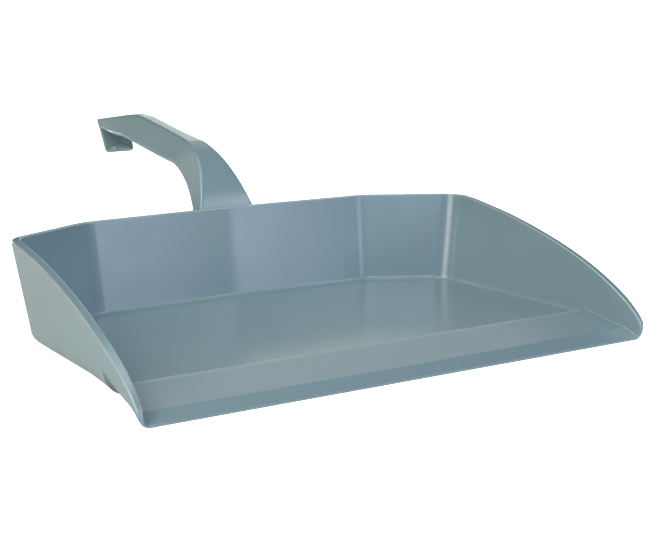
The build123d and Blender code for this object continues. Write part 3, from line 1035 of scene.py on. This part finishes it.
# %% Loop round the hook
hook_half, hook_length, hook_taper = 10.75, 23.5, 1.0
hook_edge, hook_corner = 0.7, 2.2
edge_steps, face_steps = 4, 24
toe_half, toe_rise, toe_reach, toe_fullness = 7.6, 4.8, 4.2, 1.6
top_slant = (ridge_tip - hook_start).dot(hook_down) / hook_wall
top_fade = 6.0


def toe_at(across, down):
    """How far the toe stands out of the plate: full at its middle, rounded off at its outline."""
    inside = 1 - (across / toe_half) ** 2 - ((hook_length - down) / toe_rise) ** 2
    return toe_reach * sqrt(min(max(inside, 0) * toe_fullness, 1))


def hook_loop(down, inset):
    """Loop round the plate at a distance down from the tip."""
    fold = max(down - (hook_length - hook_corner), 0)
    square_half = hook_half - hook_taper * down / hook_length
    half = square_half - hook_corner + sqrt(hook_corner**2 - fold**2) - inset
    flat, front = half - hook_edge, hook_wall - inset
    quarter = [pi / 2 * share for share in arc_steps(edge_steps)]
    right = [(flat + hook_edge * sin(a), inset + hook_edge * (1 - cos(a))) for a in quarter]
    right += [(flat + hook_edge * cos(a), front - hook_edge * (1 - sin(a))) for a in quarter]
    left = [(-across, forward) for across, forward in reversed(right)]
    spans = [flat - 2 * flat * share for share in arc_steps(face_steps)]
    face = [(across, front + max(toe_at(across, down) - inset, 0)) for across in spans]
    loop = []
    for across, forward in right + face + left:
        slant = top_slant * forward * max(1 - down / top_fade, 0)
        point = ridge_tip + hook_down * (down - slant) + hook_forward * forward
        loop.append(placed(across, point.x, point.y))
    return loop


print(len(hook_loop(0, 0)), "points in a loop of the hook")

# %% [markdown]
# The loops lie close together over the toe, and the first and last few draw in to round the upper
# and the lower edge. Quads join each loop to the next one, and one face closes each end.

# %% Build the hook
toe_lead = 0.1
toe_start = hook_length - toe_rise - toe_lead
plate_steps, toe_steps = 9, 18
top_rows = quarter_round(hook_edge, edge_steps)
plate_rows = between(hook_edge, toe_start, plate_steps)[1:]
toe_rows = between(toe_start, hook_length - hook_edge, toe_steps)
low_rows = [(hook_length - inset, down) for down, inset in top_rows]
hook_rows = top_rows + [(down, 0) for down in plate_rows + toe_rows] + low_rows
hook_mesh = bpy.data.meshes.new("end_hook")
work = bmesh.new()
loops = [[work.verts.new(point) for point in hook_loop(*row)] for row in hook_rows]
count = len(loops[0])
for first, second in zip(loops, loops[1:]):
    for index in range(count):
        following = (index + 1) % count
        work.faces.new((first[index], first[following], second[following], second[index]))
work.faces.new(loops[0])
work.faces.new(loops[-1])
work.to_mesh(hook_mesh)
work.free()
settle(hook_mesh, sharp=50)
hook_mesh.materials.append(plastic)
hook = in_scene("end_hook", hook_mesh)
even_normals(hook, keep_sharp=True)

# %% [markdown]
# ## The floor and the room
# The photograph is a cut-out on pure white. White paper and a white room would throw too much light
# back on the pan, so both glow for the camera alone: a Light Path node tells rays that come from
# the camera from all the others, and the lights keep the shading to themselves.

# %% Floor and world
floor_half = 6
floor_mesh = bpy.data.meshes.new("studio_floor")
floor_corners = [(-1, -1), (1, -1), (1, 1), (-1, 1)]
floor_places = [(x * floor_half, y * floor_half, 0) for x, y in floor_corners]
floor_mesh.from_pydata(floor_places, [], [(0, 1, 2, 3)])
paper = bpy.data.materials.new("white_paper")
paper.use_nodes = True
paper_shader = paper.node_tree.nodes["Principled BSDF"]
paper_shader.inputs["Base Color"].default_value = (0.9, 0.9, 0.9, 1)
paper_shader.inputs["Roughness"].default_value = 0.9
paper_shader.inputs["Emission Color"].default_value = (1, 1, 1, 1)
floor_mesh.materials.append(paper)
studio_floor = in_scene("studio_floor", floor_mesh)
world = bpy.data.worlds.new("white_room")
world.use_nodes = True
room = world.node_tree.nodes["Background"]
room.inputs["Color"].default_value = (1, 1, 1, 1)
for glow in (paper_shader.inputs["Emission Strength"], room.inputs["Strength"]):
    for_camera = add_node(glow.id_data, "ShaderNodeLightPath").outputs["Is Camera Ray"]
    glow.id_data.links.new(for_camera, glow)
bpy.context.scene.world = world
bpy.context.scene.view_settings.view_transform = "Standard"
print("white floor,", 2 * floor_half, "m across")

# %% [markdown]
# ## The lights
# The pan was lit broadly and softly. Ten flat lights stand round it, and their powers and slight
# tints were fitted to the photograph's colours, surface by surface. The low one behind the pan only
# glances off the rim and the top of the handle and draws their light edges.

# %% Soft lights
light_target = Vector((0, 0, 0.03))
# Name, place, width and height, power and tint.
lights = [
    ("left_strip", (-1.24, -0.48, 0.55), (0.6, 0.9), 7.4, (1, 0.92, 0.9)),
    ("left_high_light", (-1.0, -0.2, 1.3), (0.8, 0.8), 9.6, (0.92, 1, 0.78)),
    ("top_light", (0, 0.1, 1.6), (0.8, 0.8), 4, (1, 1, 1)),
    ("front_light", (-0.1, -1.6, 0.8), (0.8, 0.8), 9.8, (0.7, 0.8, 1)),
    ("front_low_light", (0.62, -1.45, 0.2), (0.3, 0.3), 1.1, (0.8, 0.86, 1)),
    ("right_light", (1.1, -1.1, 0.8), (0.8, 0.8), 5.8, (0.87, 0.93, 1)),
    ("back_right_light", (0.9, 1.1, 1.0), (0.8, 0.8), 1.3, (1, 0.93, 1)),
    ("back_right_low_light", (0.85, 1.35, 0.4), (0.5, 0.5), 1.4, (0.88, 1, 0.83)),
    ("back_left_light", (-1.0, 1.0, 0.9), (0.8, 0.8), 1.4, (1, 0.64, 0.72)),
    ("back_light", (-0.1, 1.7, 0.12), (0.5, 0.2), 11, (1, 0.9, 0.74)),
]
for name, place, (width, height), power, tint in lights:
    data = bpy.data.lights.new(name, "AREA")
    data.shape = "RECTANGLE"
    data.size, data.size_y = width, height
    data.energy = power
    data.color = tint
    light = in_scene(name, data)
    light.location = place
    aim_way = light_target - Vector(place)
    light.rotation_euler = aim_way.to_track_quat("-Z", "Y").to_euler()
print(len(lights), "soft lights")

# %% [markdown]
# ## Hand the pieces over
# Each piece rides on the one body of the pan, takes the plastic's slot, and stands for the solids
# that it covers, which are hidden.

# %% Ride, replace and finish
covers = {
    pan: [
        "pan_floor", "entry_ramp", "scraper_lip",
        "left_side_wall", "right_side_wall", "back_wall",
    ],
    handle: ["handle_root", "handle_grip"],
    hook: ["handle_end_hook"],
}
for piece, covered in covers.items():
    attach(piece, "root")
    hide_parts(*covered)
